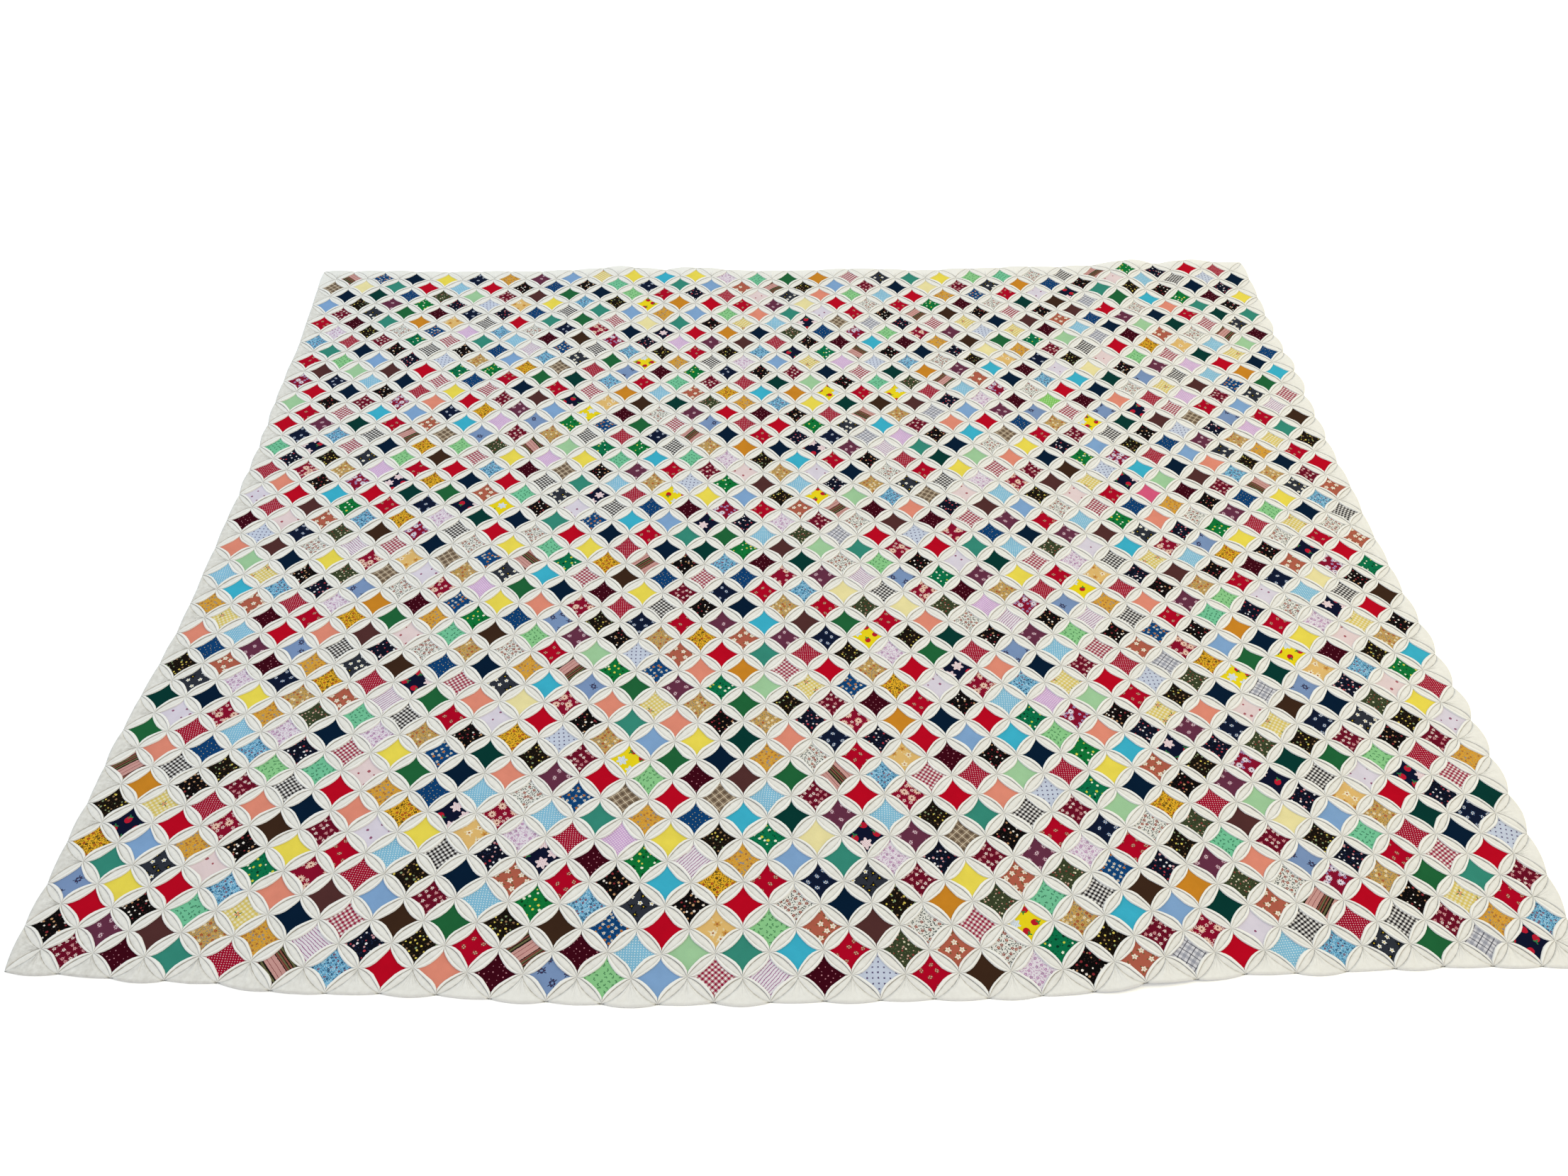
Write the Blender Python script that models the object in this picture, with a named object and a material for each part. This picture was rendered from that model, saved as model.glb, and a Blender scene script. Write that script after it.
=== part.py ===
"""A patchwork quilt of folded muslin squares, laid flat with its soft swells and uneven edges.

Units are metres with +Z up. The near edge faces -Y. Places on the cloth are counted in squares:
s runs from 0 at the left edge to ACROSS, and t from 0 at the near edge to DEEP.
The petals of the folded squares meet at each square's corners and middle, and a window lies
on each seam between two squares, so the face is a lattice of half squares with raised nodes.
"""

import math
from typing import NamedTuple

import bmesh
import bpy
from mathutils import Vector

SQUARE = 0.0762
ACROSS = 30
DEEP = 25

# Thickness of the layers: where petals are tacked, in a window, and on the plain outer flaps.
NODE_THICK = 0.0036
WINDOW_THICK = 0.0018
CORNER_THICK = 0.0026
HEM_THICK = 0.0014

# How far the outer flaps bulge past the line of the corners, on each side.
LEFT_SCALLOP = 0.002
RIGHT_SCALLOP = 0.007
NEAR_SCALLOP = 0.003
FAR_SCALLOP = 0.004

# Share by which the bulges differ, and how fast that beats along the sides and the ends.
SCALLOP_UNEVEN = 0.6
BEAT_ACROSS = 1.7
BEAT_UP = 2.9

# Share of an edge's drift that is left towards the middle of the cloth.
DRIFT_FADE = 1.5

MUSLIN = (0.86, 0.85, 0.79, 1.0)
MUSLIN_ROUGHNESS = 0.9


class EdgeDrift(NamedTuple):
    """How far the seams lie off an even grid in depth, at one place across the quilt."""

    across: float
    near: float
    middle: float
    far: float


class SideDrift(NamedTuple):
    """How far the seams lie off an even grid sideways, at one place up the quilt.

    Spread is how far the seams halfway to each side are pushed towards the middle.
    """

    up: float
    left: float
    middle: float
    right: float
    spread: float


class Fold(NamedTuple):
    """A soft ridge of cloth from one place to another, in squares, with its height in metres."""

    from_s: float
    from_t: float
    to_s: float
    to_t: float
    half_width: float
    height: float


EDGE_DRIFTS = (
    EdgeDrift(across=0.0, near=0.050, middle=0.004, far=0.006),
    EdgeDrift(across=0.1, near=0.033, middle=0.005, far=0.000),
    EdgeDrift(across=0.2, near=0.011, middle=0.003, far=0.006),
    EdgeDrift(across=0.4, near=-0.013, middle=-0.013, far=0.008),
    EdgeDrift(across=0.6, near=-0.012, middle=-0.013, far=0.006),
    EdgeDrift(across=0.8, near=0.020, middle=-0.010, far=0.026),
    EdgeDrift(across=0.9, near=0.026, middle=0.008, far=0.032),
    EdgeDrift(across=1.0, near=0.024, middle=0.008, far=0.046),
)

SIDE_DRIFTS = (
    SideDrift(up=0.0, left=-0.029, middle=0.006, right=-0.014, spread=-0.010),
    SideDrift(up=0.2, left=-0.017, middle=0.003, right=-0.001, spread=0.000),
    SideDrift(up=0.4, left=0.004, middle=0.000, right=-0.002, spread=0.003),
    SideDrift(up=0.6, left=0.004, middle=0.001, right=0.005, spread=0.007),
    SideDrift(up=0.8, left=-0.009, middle=0.000, right=0.012, spread=0.003),
    SideDrift(up=1.0, left=-0.029, middle=-0.004, right=0.029, spread=0.000),
)

FOLDS = (
    Fold(from_s=9.6, from_t=25.0, to_s=7.2, to_t=18.0, half_width=2.4, height=0.011),
    Fold(from_s=12.0, from_t=25.0, to_s=11.6, to_t=23.4, half_width=1.7, height=0.010),
    Fold(from_s=2.2, from_t=24.0, to_s=3.4, to_t=20.8, half_width=2.2, height=0.007),
    Fold(from_s=17.4, from_t=25.0, to_s=16.2, to_t=22.4, half_width=2.0, height=0.007),
    Fold(from_s=26.2, from_t=25.0, to_s=25.6, to_t=23.6, half_width=1.5, height=0.016),
    Fold(from_s=28.1, from_t=25.0, to_s=28.0, to_t=23.8, half_width=1.4, height=0.013),
    Fold(from_s=28.2, from_t=22.0, to_s=24.6, to_t=21.2, half_width=1.9, height=0.008),
    Fold(from_s=20.4, from_t=19.0, to_s=19.2, to_t=12.6, half_width=2.0, height=0.009),
    Fold(from_s=12.8, from_t=17.0, to_s=10.6, to_t=13.0, half_width=2.1, height=0.008),
    Fold(from_s=15.6, from_t=13.2, to_s=14.6, to_t=11.0, half_width=1.8, height=0.005),
    Fold(from_s=27.6, from_t=14.0, to_s=28.0, to_t=7.0, half_width=2.2, height=0.007),
    Fold(from_s=5.2, from_t=13.4, to_s=7.4, to_t=10.6, half_width=2.2, height=0.006),
    Fold(from_s=14.6, from_t=6.4, to_s=15.6, to_t=4.2, half_width=2.0, height=0.005),
    Fold(from_s=21.2, from_t=0.0, to_s=21.0, to_t=1.6, half_width=1.6, height=0.006),
    Fold(from_s=30.0, from_t=19.2, to_s=28.8, to_t=19.0, half_width=1.6, height=0.006),
)


def eased(x):
    """Rises smoothly from 0 to 1 as x does."""
    x = min(max(x, 0.0), 1.0)
    return x * x * (3.0 - 2.0 * x)


def along(rows, place, column):
    """Value of a table's column at a place, eased between its rows; the first column is the place."""
    for low, high in zip(rows, rows[1:]):
        if place <= high[0]:
            share = eased((place - low[0]) / (high[0] - low[0]))
            return (1.0 - share) * getattr(low, column) + share * getattr(high, column)
    return getattr(rows[-1], column)


def drift(rows, place, cross, low_column, high_column):
    """Drift at a place of the table, fading from the edge that is nearer across to the middle."""
    column = low_column if cross < 0.5 else high_column
    edge_share = abs(2.0 * cross - 1.0) ** DRIFT_FADE
    middle = along(rows, place, "middle")
    return middle + edge_share * (along(rows, place, column) - middle)


def distance_to_fold(fold, s, t):
    """Distance in squares from a place to the fold's crest."""
    start = Vector((fold.from_s, fold.from_t))
    run = Vector((fold.to_s, fold.to_t)) - start
    place = Vector((s, t)) - start
    share = min(max(place.dot(run) / run.length_squared, 0.0), 1.0)
    return (place - share * run).length


def swell(s, t):
    """Height of the cloth's underside over the surface at a corner of the squares."""
    return max(f.height * eased(1.0 - distance_to_fold(f, s, t) / f.half_width) for f in FOLDS)


def underside(i, j):
    """Height under a point of the half-square lattice, level between the squares' corners."""
    columns = {i // 2, (i + 1) // 2}
    rows = {j // 2, (j + 1) // 2}
    return sum(swell(s, t) for s in columns for t in rows) / (len(columns) * len(rows))


def scallop(i, j):
    """How far a flap's middle on the outline bulges out, as x and y."""
    uneven = 1.0 + SCALLOP_UNEVEN * math.sin(BEAT_ACROSS * i + BEAT_UP * j)
    if i == 0 and j % 2:
        return -LEFT_SCALLOP * uneven, 0.0
    if i == 2 * ACROSS and j % 2:
        return RIGHT_SCALLOP * uneven, 0.0
    if j == 0 and i % 2:
        return 0.0, -NEAR_SCALLOP * uneven
    if j == 2 * DEEP and i % 2:
        return 0.0, FAR_SCALLOP * uneven
    return 0.0, 0.0


def plan(i, j):
    """Place of a lattice point on the surface, from the middle of an even grid."""
    share_x = i / (2 * ACROSS)
    share_y = j / (2 * DEEP)
    out_x, out_y = scallop(i, j)
    x = (share_x - 0.5) * ACROSS * SQUARE + out_x
    y = (share_y - 0.5) * DEEP * SQUARE + out_y
    x += drift(SIDE_DRIFTS, share_y, share_x, "left", "right")
    x += along(SIDE_DRIFTS, share_y, "spread") * math.sin(2.0 * math.pi * share_x)
    y += drift(EDGE_DRIFTS, share_x, share_y, "near", "far")
    return x, y


def thickness(i, j):
    """Thickness of the layers at a lattice point."""
    on_edge = i in (0, 2 * ACROSS) or j in (0, 2 * DEEP)
    is_node = i % 2 == j % 2
    if on_edge:
        return CORNER_THICK if is_node else HEM_THICK
    return NODE_THICK if is_node else WINDOW_THICK


def lattice():
    """Even sheet of half squares: each point's x and y are its lattice numbers."""
    bm = bmesh.new()
    bmesh.ops.create_grid(bm, x_segments=2 * ACROSS, y_segments=2 * DEEP, size=0.5)
    for vert in bm.verts:
        vert.co.x = round((vert.co.x + 0.5) * 2 * ACROSS)
        vert.co.y = round((vert.co.y + 0.5) * 2 * DEEP)
    return bm


def raise_face(bm):
    """Extrudes the sheet into a body: its underside stays at z 0 and its face is at z 1."""
    made = bmesh.ops.extrude_face_region(bm, geom=bm.faces[:], use_keep_orig=True)
    verts = [item for item in made["geom"] if isinstance(item, bmesh.types.BMVert)]
    bmesh.ops.translate(bm, verts=verts, vec=(0.0, 0.0, 1.0))


def is_level(face, z):
    """Whether the face lies at that height of the lattice."""
    return all(abs(vert.co.z - z) < 0.5 for vert in face.verts)


def crease_petals(bm):
    """Splits each half square of the face along its petal, from node to node."""
    for face in [face for face in bm.faces if is_level(face, 1.0)]:
        nodes = [v for v in face.verts if round(v.co.x) % 2 == round(v.co.y) % 2]
        bmesh.utils.face_split(face, nodes[0], nodes[1])


def in_half_line(edge):
    """Whether an underside edge runs through the middle of the squares."""
    a, b = edge.verts
    if a.co.z > 0.5 or b.co.z > 0.5:
        return False
    same_column = round(a.co.x) == round(b.co.x) and round(a.co.x) % 2 == 1
    same_row = round(a.co.y) == round(b.co.y) and round(a.co.y) % 2 == 1
    return same_column or same_row


def simplify_underside(bm):
    """Joins the underside into whole squares, and folds those that swell from their middle."""
    halves = [edge for edge in bm.edges if in_half_line(edge)]
    bmesh.ops.dissolve_edges(bm, edges=halves, use_verts=True, use_face_split=False)
    squares = [face for face in bm.faces if is_level(face, 0.0)]
    swelled = [f for f in squares if any(swell(v.co.x / 2, v.co.y / 2) > 0.0 for v in f.verts)]
    made = bmesh.ops.poke(bm, faces=swelled)
    for vert in made["verts"]:
        vert.co = [round(value) for value in vert.co]


def lay(bm):
    """Moves each lattice point to its place on the laid cloth, with the outline about the origin."""
    for vert in bm.verts:
        i = round(vert.co.x)
        j = round(vert.co.y)
        x, y = plan(i, j)
        height = underside(i, j)
        if vert.co.z > 0.5:
            height += thickness(i, j)
        vert.co = (x, y, height)
    middle_x = (min(v.co.x for v in bm.verts) + max(v.co.x for v in bm.verts)) / 2
    middle_y = (min(v.co.y for v in bm.verts) + max(v.co.y for v in bm.verts)) / 2
    bmesh.ops.translate(bm, verts=bm.verts[:], vec=(-middle_x, -middle_y, 0.0))


def muslin():
    """Off-white cotton."""
    material = bpy.data.materials.new("muslin")
    material.use_nodes = True
    shader = material.node_tree.nodes["Principled BSDF"]
    shader.inputs["Base Color"].default_value = MUSLIN
    shader.inputs["Roughness"].default_value = MUSLIN_ROUGHNESS
    shader.inputs["Metallic"].default_value = 0.0
    return material


def quilt():
    """The whole cloth, one piece."""
    bm = lattice()
    raise_face(bm)
    simplify_underside(bm)
    crease_petals(bm)
    lay(bm)
    bmesh.ops.triangulate(bm, faces=bm.faces[:])
    bmesh.ops.recalc_face_normals(bm, faces=bm.faces[:])
    mesh = bpy.data.meshes.new("quilt")
    bm.to_mesh(mesh)
    bm.free()
    mesh.materials.append(muslin())
    body = bpy.data.objects.new("quilt", mesh)
    bpy.context.scene.collection.objects.link(body)


def main():
    for old in list(bpy.data.objects):
        bpy.data.objects.remove(old)
    quilt()


main()
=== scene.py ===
import itertools
import math
from collections import namedtuple

import bmesh
import bpy
import numpy as np
from bpy.props import FloatProperty, FloatVectorProperty, IntProperty, PointerProperty
from mathutils import Matrix, Vector


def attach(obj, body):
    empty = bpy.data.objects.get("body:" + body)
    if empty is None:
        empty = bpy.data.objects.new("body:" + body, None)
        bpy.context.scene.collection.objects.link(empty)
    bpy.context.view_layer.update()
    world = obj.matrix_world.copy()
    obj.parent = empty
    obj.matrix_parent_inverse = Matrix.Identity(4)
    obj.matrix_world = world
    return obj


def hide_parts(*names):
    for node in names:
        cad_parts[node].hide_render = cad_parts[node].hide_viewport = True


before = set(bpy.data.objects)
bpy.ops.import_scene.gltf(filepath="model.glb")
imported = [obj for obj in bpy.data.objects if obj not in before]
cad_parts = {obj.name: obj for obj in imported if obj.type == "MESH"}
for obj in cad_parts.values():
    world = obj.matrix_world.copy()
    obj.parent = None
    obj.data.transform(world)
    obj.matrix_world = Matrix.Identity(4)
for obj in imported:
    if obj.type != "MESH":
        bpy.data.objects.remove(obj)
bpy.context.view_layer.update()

bl_info = {
    "name": "Petal quilt",
    "version": (1, 0, 0),
    "blender": (4, 5, 0),
    "location": "3D View > Sidebar > Quilt",
    "description": "Folded muslin squares whose rolled petals frame print windows",
    "category": "Object",
}

# The even cloth. Places are counted in squares: s from the left edge, t from the near edge.
SQUARE = 0.0762
ACROSS = 30
DEEP = 25
PETAL = math.sqrt(0.5)

LEFT_SCALLOP = 0.002
RIGHT_SCALLOP = 0.007
NEAR_SCALLOP = 0.003
FAR_SCALLOP = 0.004
SCALLOP_UNEVEN = 0.6
BEAT_ACROSS = 1.7
BEAT_UP = 2.9
DRIFT_FADE = 1.5

# How far the seams lie off an even grid in depth, at one place across the quilt.
EdgeDrift = namedtuple("EdgeDrift", "across near middle far")

# How far they lie off it sideways, at one place up the quilt. Spread is how far the seams halfway to each
# side are pushed towards the middle.
SideDrift = namedtuple("SideDrift", "up left middle right spread")

# A soft ridge of cloth from one place to another, in squares, with its height in metres.
Fold = namedtuple("Fold", "from_s from_t to_s to_t half_width height")

# A point of half a petal's section: its shares of the slit, the rolled rim and the roll's height, and its
# painted
# shade: 1 for the full painted shade in a crease, 0 on plain cloth, below 0 for a painted highlight on a
# roll's crest.
HemPoint = namedtuple("HemPoint", "slit rim height crease")

# A cotton of the windows: how it is printed, its dyes, its repeat in metres and how common it is. The dyes
# are codes of the ground and then of the inks.
Print = namedtuple("Print", "name draw dyes repeat share")

# Each line of a table holds one row, with the values in that order.
EDGE_DRIFTS = [EdgeDrift(*row) for row in (
    (0.0, 0.050, 0.004, 0.006),
    (0.1, 0.033, 0.005, 0.000),
    (0.2, 0.011, 0.003, 0.006),
    (0.4, -0.013, -0.013, 0.008),
    (0.6, -0.012, -0.013, 0.006),
    (0.8, 0.020, -0.010, 0.026),
    (0.9, 0.026, 0.008, 0.032),
    (1.0, 0.024, 0.008, 0.046),
)]

SIDE_DRIFTS = [SideDrift(*row) for row in (
    (0.0, -0.029, 0.006, -0.014, -0.010),
    (0.2, -0.017, 0.003, -0.001, 0.000),
    (0.4, 0.004, 0.000, -0.002, 0.003),
    (0.6, 0.004, 0.001, 0.005, 0.007),
    (0.8, -0.009, 0.000, 0.012, 0.003),
    (1.0, -0.029, -0.004, 0.029, 0.000),
)]

FOLDS = [Fold(*row) for row in (
    (9.6, 25.0, 7.2, 18.0, 2.4, 0.011),
    (12.0, 25.0, 11.6, 23.4, 1.7, 0.010),
    (2.2, 24.0, 3.4, 20.8, 2.2, 0.007),
    (17.4, 25.0, 16.2, 22.4, 2.0, 0.007),
    (26.2, 25.0, 25.6, 23.6, 1.5, 0.016),
    (28.1, 25.0, 28.0, 23.8, 1.4, 0.013),
    (28.2, 22.0, 24.6, 21.2, 1.9, 0.008),
    (20.4, 19.0, 19.2, 12.6, 2.0, 0.009),
    (12.8, 17.0, 10.6, 13.0, 2.1, 0.008),
    (15.6, 13.2, 14.6, 11.0, 1.8, 0.005),
    (27.6, 14.0, 28.0, 7.0, 2.2, 0.007),
    (5.2, 13.4, 7.4, 10.6, 2.2, 0.006),
    (14.6, 6.4, 15.6, 4.2, 2.0, 0.005),
    (21.2, 0.0, 21.0, 1.6, 1.6, 0.006),
    (30.0, 19.2, 28.8, 19.0, 1.6, 0.006),
)]

# Half a petal's section, from the middle of its slit to its edge on the window, with painted shade and
# highlight.
PETAL_SECTION = [HemPoint(*row) for row in (
    (0.00, 0.00, 0.45, 0.11),
    (0.80, 0.00, 0.30, 0.14),
    (1.00, 0.08, 0.00, 1.00),
    (1.00, 0.00, 0.60, 0.40),
    (1.00, 0.16, 0.98, -0.90),
    (1.00, 0.50, 1.02, -1.00),
    (1.00, 0.88, 0.92, -1.00),
    (1.00, 1.00, -0.05, -0.90),
)]

# Points of that section in the slit, points across a plain flap, steps along a petal and a window, and how
# much closer a petal's steps lie at its ends.
SLIT_POINTS = 3
FLAP_POINTS = 11
PETAL_STEPS = 9
WINDOW_STEPS = 6
STEP_EASE = 0.09

# How blunt the ends of the curves are: a petal's rim at the near and the far edge, its slit and its rise.
NEAR_BLUNT = 0.57
FAR_BLUNT = 0.49
SLIT_BLUNT = 0.8
RISE_BLUNT = 0.35

# How uneven the handwork is: shares of the rim, the slit and the roll, a lean, and a waver in squares.
UNEVEN_RIM = 0.08
UNEVEN_SLIT = 0.20
UNEVEN_ROLL = 0.16
UNEVEN_LEAN = 0.14
WAVER = 0.004

# The widest slit as a share of its petal, the least width of a petal, how fast the painted shade at a node
# fades along it, and the width of a window's wrinkle. Widths are in squares.
WIDEST_SLIT = 0.62
TINY = 1e-5
NODE_SHADE_FADE = 9.0
WRINKLE_WIDTH = 0.07

# The plain flaps: their pleats, and their painted shade, which grows towards the left and is weaker at the
# far edge.
PLEATS = 4
PLEAT_WIDTH = 0.16
LEFT_SHADE_GAIN = 2.2
LEFT_WIDTH = 9.0
FAR_SHADE_SHARE = 0.4

# The outer fold tucks in by this share of a square, and the cottons are cut from cloth so many metres wide.
INSET = 0.012
CLOTH_WIDTH = 3.0

# The underside's sewing in metres, with its thread's colour, and what all cottons or flower heads share.
STITCH_PITCH = 0.0028
STITCH_REACH = 0.0012
TACK_WIDTH = 0.0005
TACK_LENGTH = 0.0022
THREAD = "f4f1e6"
COTTON_GLOSS = 0.02
LOBE_DEPTH = 0.24

# The studio in metres, with the lights' colours and the camera's sensor in millimetres.
LEFT_LIGHT = ((-2.6, 1.6, 3.4), (0.63, 0.87, 1.0))
RIGHT_LIGHT = ((2.8, 0.2, 3.4), (1.0, 0.88, 0.47))
LIGHT_WIDTH = 3.0
EYE = (-0.088, -1.694, 1.619)
SENSOR_WIDTH = 36.0
FLOOR_WIDTH = 18.0
FLOOR_DROP = 0.0005

# Faces of the folded squares are kept in rows, layer by layer, so that every run gives the same mesh.
FACE_ORDER = Vector((1.0, 1e3, 1e6))


def eased(x):
    """Rises smoothly from 0 to 1 as x does."""
    x = np.clip(x, 0.0, 1.0)
    return x * x * (3.0 - 2.0 * x)


def along(rows, place, column):
    """Values of a table's column at places, eased between its rows; the first column is the place."""
    stops = np.array([row[0] for row in rows])
    values = np.array([getattr(row, column) for row in rows])
    low = np.clip(np.searchsorted(stops, place, side="right") - 1, 0, len(rows) - 2)
    share = eased((place - stops[low]) / (stops[low + 1] - stops[low]))
    return values[low] + share * (values[low + 1] - values[low])


def drift(rows, place, cross, low_column, high_column):
    """Drift at places of the table, fading from the edge that is nearer across to the middle."""
    middle = along(rows, place, "middle")
    low = along(rows, place, low_column)
    high = along(rows, place, high_column)
    edge = np.where(cross < 0.5, low, high)
    return middle + np.abs(2.0 * cross - 1.0) ** DRIFT_FADE * (edge - middle)


def swell(s, t):
    """Height of the cloth's underside over the surface."""
    height = np.zeros_like(s)
    for fold in FOLDS:
        run_s = fold.to_s - fold.from_s
        run_t = fold.to_t - fold.from_t
        share = (s - fold.from_s) * run_s + (t - fold.from_t) * run_t
        share = np.clip(share / (run_s * run_s + run_t * run_t), 0.0, 1.0)
        away = np.hypot(s - fold.from_s - share * run_s, t - fold.from_t - share * run_t)
        height = np.maximum(height, fold.height * eased(1.0 - away / fold.half_width))
    return height


def bulge(place, count, crossing, reach):
    """Outward bulge of the flaps between the squares' corners along one side of the outline."""
    square = np.clip(np.floor(place), 0, count - 1)
    middle = 2.0 * square + 1.0
    beat = BEAT_ACROSS * middle + BEAT_UP * crossing
    if count == DEEP:
        beat = BEAT_ACROSS * crossing + BEAT_UP * middle
    arch = 1.0 - (2.0 * (place - square) - 1.0) ** 2
    return reach * (1.0 + SCALLOP_UNEVEN * np.sin(beat)) * arch


def scallops(place, count, cross, width, low, high):
    """How far the bulges of two sides that face each other push the cloth between them."""
    at_low, at_high = (np.clip(1.0 - 2.0 * away, 0.0, 1.0) for away in (cross, width - cross))
    return at_high * bulge(place, count, 2 * width, high) - at_low * bulge(place, count, 0, low)


def plan(s, t):
    """Place of the cloth on the surface, from the middle of an even grid, in metres."""
    x = (s - ACROSS / 2) * SQUARE + drift(SIDE_DRIFTS, t / DEEP, s / ACROSS, "left", "right")
    x = x + along(SIDE_DRIFTS, t / DEEP, "spread") * np.sin(2.0 * math.pi * s / ACROSS)
    y = (t - DEEP / 2) * SQUARE + drift(EDGE_DRIFTS, s / ACROSS, t / DEEP, "near", "far")
    x = x + scallops(t, DEEP, s, ACROSS, LEFT_SCALLOP, RIGHT_SCALLOP)
    y = y + scallops(s, ACROSS, t, DEEP, NEAR_SCALLOP, FAR_SCALLOP)
    return x, y


def outline_middle():
    """Middle of the outline's box, which the model has as its origin."""
    s = np.arange(0.0, ACROSS + 0.25, 0.5)
    t = np.arange(0.0, DEEP + 0.25, 0.5)
    s, t = (grid.ravel() for grid in np.meshgrid(s, t))
    x, y = plan(s, t)
    return (x.min() + x.max()) / 2, (y.min() + y.max()) / 2


MIDDLE_X, MIDDLE_Y = outline_middle()


def wander(s, t, seed, reach):
    """Unevenness of hand sewing: each node is off by up to reach, and the cloth between follows."""
    nodes = np.random.default_rng(seed).uniform(-reach, reach, (2 * ACROSS + 1, 2 * DEEP + 1))
    i = np.clip(2.0 * s, 0.0, 2 * ACROSS - 1e-6)
    j = np.clip(2.0 * t, 0.0, 2 * DEEP - 1e-6)
    low_i = i.astype(int)
    low_j = j.astype(int)
    share_i = i - low_i
    share_j = j - low_j
    near = nodes[low_i, low_j] * (1 - share_i) + nodes[low_i + 1, low_j] * share_i
    far = nodes[low_i, low_j + 1] * (1 - share_i) + nodes[low_i + 1, low_j + 1] * share_i
    return near * (1 - share_j) + far * share_j


def laid(points, sizes):
    """Takes points of the even cloth, s and t in squares and height in metres, to where they lie."""
    s, t, height = (points[..., axis] for axis in range(3))
    x, y = plan(s, t)
    x = x - MIDDLE_X + wander(s, t, sizes.seed, sizes.wander)
    y = y - MIDDLE_Y + wander(s, t, sizes.seed + 1, sizes.wander)
    rise = wander(s, t, sizes.seed + 2, 0.5 * sizes.wander) + 0.5 * sizes.wander
    z = height + swell(s, t) + rise * np.clip(height / sizes.base, 0.0, 1.0)
    return np.stack((x, y, z), axis=-1)


def window_places():
    """Middles of the windows in squares: first on the upright seams, then on the level ones."""
    upright = [(k, m + 0.5) for m in range(DEEP) for k in range(1, ACROSS)]
    level = [(k + 0.5, m) for m in range(1, DEEP) for k in range(ACROSS)]
    return np.array(upright), np.array(level)


def petal_half(share, half, blunt):
    """Half width of a petal's lens along its length, in squares."""
    return half * np.maximum(4.0 * share * (1.0 - share), 0.0) ** blunt


def even_sheet(columns, rows):
    """Flat sheet from 0 to 1 both ways, with its cloth UV map."""
    bm = bmesh.new()
    bmesh.ops.create_grid(bm, x_segments=columns, y_segments=rows, size=0.5, calc_uvs=False)
    bmesh.ops.translate(bm, verts=bm.verts[:], vec=(0.5, 0.5, 0.0))
    bm.loops.layers.uv.new("cloth")
    mesh = bpy.data.meshes.new("sheet")
    bm.to_mesh(mesh)
    bm.free()
    return mesh


def added(name, data):
    """Puts an object with this data into the scene."""
    thing = bpy.data.objects.new(name, data)
    bpy.context.scene.collection.objects.link(thing)
    return thing


def repeated(mesh, count):
    """Joins count copies of a mesh; their points follow each other, copy by copy."""
    holder = added("holder", mesh)
    array = holder.modifiers.new("copies", "ARRAY")
    array.count = count
    array.use_relative_offset = False
    array.use_constant_offset = True
    array.constant_offset_displace = (0.0, 0.0, 0.0)
    evaluated = holder.evaluated_get(bpy.context.evaluated_depsgraph_get())
    joined = bpy.data.meshes.new_from_object(evaluated)
    bpy.data.objects.remove(holder)
    bpy.data.meshes.remove(mesh)
    return joined


def numbers(items, name, width, kind=np.float32):
    """A property of all items of a mesh, as rows of so many numbers."""
    flat = np.empty(width * len(items), dtype=kind)
    items.foreach_get(name, flat)
    return flat.reshape(-1, width)


def points_of(mesh):
    """A mesh's points as rows of x, y and z."""
    return numbers(mesh.vertices, "co", 3).astype(float)


def set_points(mesh, points):
    """Moves a mesh's points."""
    mesh.vertices.foreach_set("co", points.reshape(-1).astype(np.float32))
    mesh.update()


def set_cloth(mesh, uv):
    """Gives each corner of a mesh its point's place on the cloth, in metres."""
    places = uv.reshape(-1, 2)[numbers(mesh.loops, "vertex_index", 1, np.int32)]
    mesh.uv_layers["cloth"].uv.foreach_set("vector", places.reshape(-1).astype(np.float32))


def set_values(mesh, name, values):
    """Stores a number with each point, for its material to read."""
    column = mesh.attributes.new(name, "FLOAT", "POINT")
    column.data.foreach_set("value", values.reshape(-1).astype(np.float32))


def set_materials(mesh, order):
    """Gives each face its material's number in the mesh's list."""
    mesh.polygons.foreach_set("material_index", order.astype(np.int32))
    mesh.update()


def sewn(name, mesh, materials):
    """Makes a piece of the quilt from its mesh, which stands for the plain solid."""
    mesh.name = name
    mesh.materials.clear()
    for material in materials:
        mesh.materials.append(material)
    mesh.shade_smooth()
    piece = added(name, mesh)
    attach(piece, "root")
    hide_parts("quilt")
    return piece


def wired(operation, swapped=False):
    """Makes an operator on wires that adds a Math node."""
    def apply(wire, *others):
        values = (*others, wire) if swapped else (wire, *others)
        return wire.recipe.math(operation, *values)
    return apply


class Wire:
    """A shader value that Python's operators work on."""

    def __init__(self, recipe, socket):
        self.recipe = recipe
        self.socket = socket

    __add__ = wired("ADD")
    __sub__ = wired("SUBTRACT")
    __rsub__ = wired("SUBTRACT", swapped=True)
    __mul__ = wired("MULTIPLY")
    __rmul__ = wired("MULTIPLY", swapped=True)
    __truediv__ = wired("DIVIDE")
    __lt__ = wired("LESS_THAN")
    __gt__ = wired("GREATER_THAN")
    __abs__ = wired("ABSOLUTE")
    least = wired("MINIMUM")
    most = wired("MAXIMUM")
    cosine = wired("COSINE")
    sine = wired("SINE")
    arctan2 = wired("ARCTAN2")
    root = wired("SQRT")
    fraction = wired("FRACT")

    def wrapped(self):
        """Distance from the nearest whole number, with its sign."""
        return (self + 0.5).fraction() - 0.5

    def output(self, key):
        """Another output of the same node."""
        return Wire(self.recipe, self.socket.node.outputs[key])


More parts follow.
